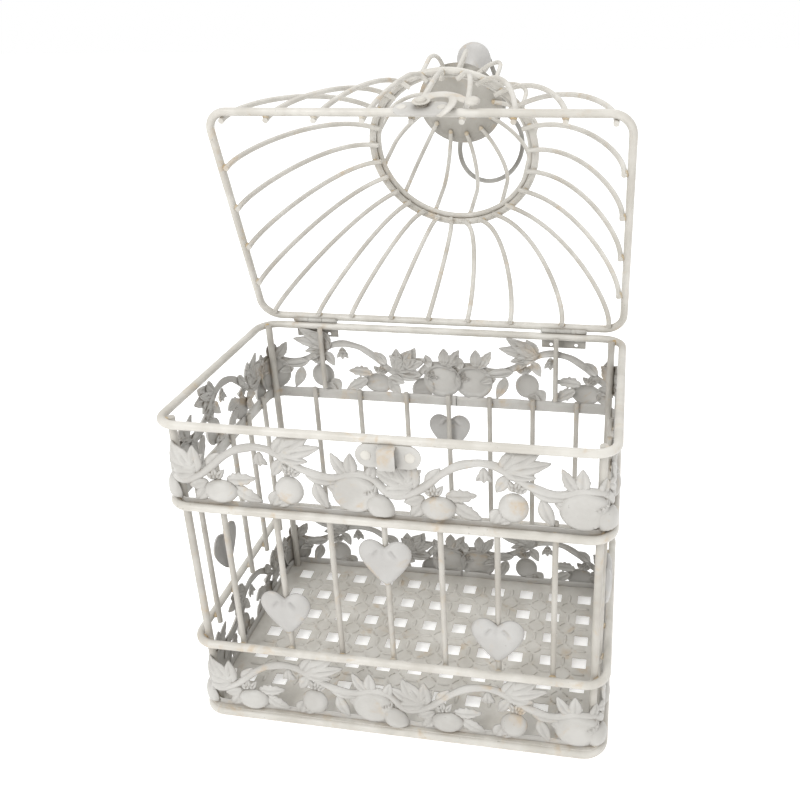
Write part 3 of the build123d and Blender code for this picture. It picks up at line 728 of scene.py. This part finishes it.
# ---------------------------------------------------------------- welds
FRONT_BARS = (-96, -64, -32, 0, 32, 64, 96)
BACK_BARS = (-91, -57.5, -23, 7.5, 37, 67.5, 98)
SIDE_BAR_PITCH = 25.8
WELD_OUT = 1.9                # welds lie this far outward of the bars' centre lines
WELD_SLIP = 0.8
POST_INSET = 5.2

cage_welds = Shape()
for wall_y, places in ((-1, FRONT_BARS), (1, BACK_BARS)):
    for x in places:
        for z, reach in ((LOWER_Z, 1.6), (UPPER_Z, 1.2)):
            slip = rng.uniform(-WELD_SLIP, WELD_SLIP)
            spot = (x, wall_y * (HALF_D - BAR_INSET + WELD_OUT), z + slip)
            lump(cage_welds, spot, (2.3, reach, 1.7))
for wall_x in (-1, 1):
    for k in range(-2, 3):
        for z in (LOWER_Z, UPPER_Z):
            slip = rng.uniform(-WELD_SLIP, WELD_SLIP)
            spot = (wall_x * (HALF_W - BAR_INSET + WELD_OUT), k * SIDE_BAR_PITCH, z + slip)
            lump(cage_welds, spot, (1.4, 2.3, 1.7))
for sx in (-1, 1):
    for sy in (-1, 1):
        for z in (BASE_Z + 4.4, LOWER_Z, UPPER_Z, RIM_Z):
            spot = (sx * (HALF_W - POST_INSET), sy * (HALF_D - POST_INSET), z)
            lump(cage_welds, spot, (2.3, 2.3, 2.0))
for name in ("front_heart_left", "front_heart_middle", "front_heart_right"):
    low, high = edges(name)
    lump(cage_welds, ((low[0] + high[0]) / 2, low[1] - 0.2, low[2] + 2.2), (2.0, 0.9, 1.9))
cage_welds.build("cage_welds", weld_paint, "cage")

RING_RADIUS = 59.6
RING_FRONT = 78.0
RING_UP = HINGE[2] - RIM_Z + 100.3
LID_DEPTH = 154.3
RIM_UP = HINGE[2] - RIM_Z
BACK_FEET = (-85, -61, -32.5, -6, 21.5, 51, 86)
FRONT_FOOT_PITCH = 29.7
SIDE_FOOT_PITCH = 29.4
RIM_INSET = 2.7
RIB_ROWS = ((215.0, 313.0, 9), (147.0, 37.0, 9), (201.4, 160.6, 4), (-30.2, 20.2, 4))

lid_welds = Shape()
for first, last, count in RIB_ROWS:
    for angle in np.radians(np.linspace(first, last, count)):
        spot = lid_point(RING_RADIUS * math.cos(angle), RING_FRONT + RING_RADIUS * math.sin(angle),
                         RING_UP - 2.3)
        lump(lid_welds, spot, (2.0, 2.0, 2.1), 9, 6, 0.35)
for x in BACK_FEET:
    lump(lid_welds, lid_point(x, RIM_INSET, RIM_UP - 0.6), (2.2, 1.8, 1.8))
for k in range(-3, 4):
    spot = lid_point(FRONT_FOOT_PITCH * k, LID_DEPTH - RIM_INSET, RIM_UP - 0.6)
    lump(lid_welds, spot, (2.2, 1.8, 1.8))
for side in (-1, 1):
    for k in (1, 2, 3, 4):
        spot = lid_point(side * (HALF_W - RIM_INSET), SIDE_FOOT_PITCH * k, RIM_UP - 0.6)
        lump(lid_welds, spot, (1.4, 2.2, 2.2))
CROWN_RADIUS = 56.0
CROWN_TOP_RADIUS = 27.0
CROWN_TOP = 72.2
CROWN_DRIFT = (-7.7, 4.3)     # the crown leans: its top lies this far off its ring
CROWN_RIBS = 13
FIRST_CROWN_RIB = -82.5
for k in range(CROWN_RIBS):
    angle = math.radians(FIRST_CROWN_RIB + 360 / CROWN_RIBS * k)
    c, d = math.cos(angle), math.sin(angle)
    foot = lid_point(CROWN_RADIUS * c, RING_FRONT + CROWN_RADIUS * d, RING_UP + 4.6)
    lump(lid_welds, foot, (2.0, 2.0, 2.0), 9, 6, 0.35)
    tip = lid_point(CROWN_TOP_RADIUS * c + CROWN_DRIFT[0],
                    RING_FRONT + CROWN_TOP_RADIUS * d + CROWN_DRIFT[1],
                    RING_UP + CROWN_TOP - 0.6)
    lump(lid_welds, tip, (1.9, 1.9, 1.9), 9, 6, 0.35)
lid_welds.build("lid_welds", weld_paint, "lid")


# ---------------------------------------------------------------- latch lever
LEVER_LIFT = 2.3              # the lever stands this far in front of the pivot's base
LEVER_FRONT = float(np.dot(PIVOT - HINGE, LID_FRONT)) + LEVER_LIFT
PIVOT_X = PIVOT[0]
PIVOT_UP = float(np.dot(PIVOT - HINGE, LID_UP))
lever = Shape()
arm = smooth_path([(0, 1.0), (1.2, 6.0), (5.2, 10.0), (11.5, 11.3), (18.0, 9.0), (23.5, 4.6),
                   (28.6, 0.9)], 6)
tail = smooth_path([(17.2, 8.2), (18.4, 3.0), (18.0, -4.0), (16.4, -11.0), (14.0, -17.6)], 6)


def on_latch(points):
    """Places on the lid's front, from (across, up) measured at the latch pivot."""
    return [lid_point(PIVOT_X + x, LEVER_FRONT, PIVOT_UP + y) for x, y in points]


tube(lever, on_latch(arm), np.linspace(4.7, 2.9, len(arm)), 14, 0.2, LID_FRONT)
tube(lever, on_latch(tail), np.linspace(3.0, 1.9, len(tail)), 14, 0.33, LID_FRONT)
button = Shape()
lump(button, (0, 0, 0), (4.7, 4.7, 2.2), 16, 8, 0.03)
spin = np.array([[1, 0, 0], LID_UP, LID_FRONT])
centre = lid_point(PIVOT_X + 29.8, LEVER_FRONT + 0.9, PIVOT_UP + 0.3)
lever.add(button.points[0] @ spin + centre, button.faces)
lever.build("latch_lever_cast", wire_paint, "latch_lever", "cream_paint", ["latch_lever"])


# ---------------------------------------------------------------- floor, light, camera
stage_mesh = bpy.data.meshes.new("stage_floor")
ground = frame_low.z
REACH = 6.0
corners = [(-REACH, -REACH, ground), (REACH, -REACH, ground),
           (REACH, REACH, ground), (-REACH, REACH, ground)]
stage_mesh.from_pydata(corners, [], [(0, 1, 2, 3)])
stage_floor = bpy.data.objects.new("stage_floor", stage_mesh)
bpy.context.scene.collection.objects.link(stage_floor)
pale = bpy.data.materials.new("pale_floor")
pale.use_nodes = True
socket_value(pale.node_tree.nodes["Principled BSDF"], Base_Color=(0.9, 0.9, 0.9, 1),
             Roughness=0.85, Emission_Color=(1.0, 1.0, 1.0, 1), Emission_Strength=0.35)
stage_mesh.materials.append(pale)

world = bpy.data.worlds.new("studio")
bpy.context.scene.world = world
world.use_nodes = True
world.node_tree.nodes["Background"].inputs["Color"].default_value = (1.0, 1.0, 1.0, 1)
world.node_tree.nodes["Background"].inputs["Strength"].default_value = 1.0


def area_light(name, place, target, size, power):
    light = bpy.data.lights.new(name, "AREA")
    light.size = size
    light.energy = power
    lamp = bpy.data.objects.new(name, light)
    bpy.context.scene.collection.objects.link(lamp)
    lamp.location = place
    lamp.rotation_euler = (Vector(target) - Vector(place)).to_track_quat("-Z", "Y").to_euler()


area_light("key", (-0.5, -1.1, 1.1), (0, 0, 0.15), 0.6, 12)
area_light("fill", (1.1, -0.7, 0.8), (0, 0.05, 0.2), 0.9, 2.5)
area_light("top", (0.1, 0.5, 1.5), (0, 0.1, 0.2), 0.9, 6)

CAMERA_TURN = (9.926, 22.976, -1.070)      # azimuth, elevation and roll in degrees
CAMERA_PLACE = (0.12431, -0.45695, 0.42195)
CAMERA_LENS = 38.33
CAMERA_SHIFT = (-0.1014, -0.0639)

camera_data = bpy.data.cameras.new("camera")
camera = bpy.data.objects.new("camera", camera_data)
bpy.context.scene.collection.objects.link(camera)
azimuth, elevation, roll = (math.radians(a) for a in CAMERA_TURN)
ahead = Vector((-math.sin(azimuth) * math.cos(elevation), math.cos(azimuth) * math.cos(elevation),
                -math.sin(elevation)))
level_right = Vector((math.cos(azimuth), math.sin(azimuth), 0))
level_up = level_right.cross(ahead)
right = level_right * math.cos(roll) + level_up * math.sin(roll)
up = level_up * math.cos(roll) - level_right * math.sin(roll)
camera.matrix_world = Matrix((
    (right.x, up.x, -ahead.x, CAMERA_PLACE[0]),
    (right.y, up.y, -ahead.y, CAMERA_PLACE[1]),
    (right.z, up.z, -ahead.z, CAMERA_PLACE[2]),
    (0, 0, 0, 1)))
camera_data.sensor_width = 36
camera_data.lens = CAMERA_LENS
camera_data.shift_x = CAMERA_SHIFT[0]
camera_data.shift_y = CAMERA_SHIFT[1]
camera_data.clip_start = 0.01
bpy.context.scene.camera = camera
bpy.context.scene.view_settings.view_transform = "Standard"
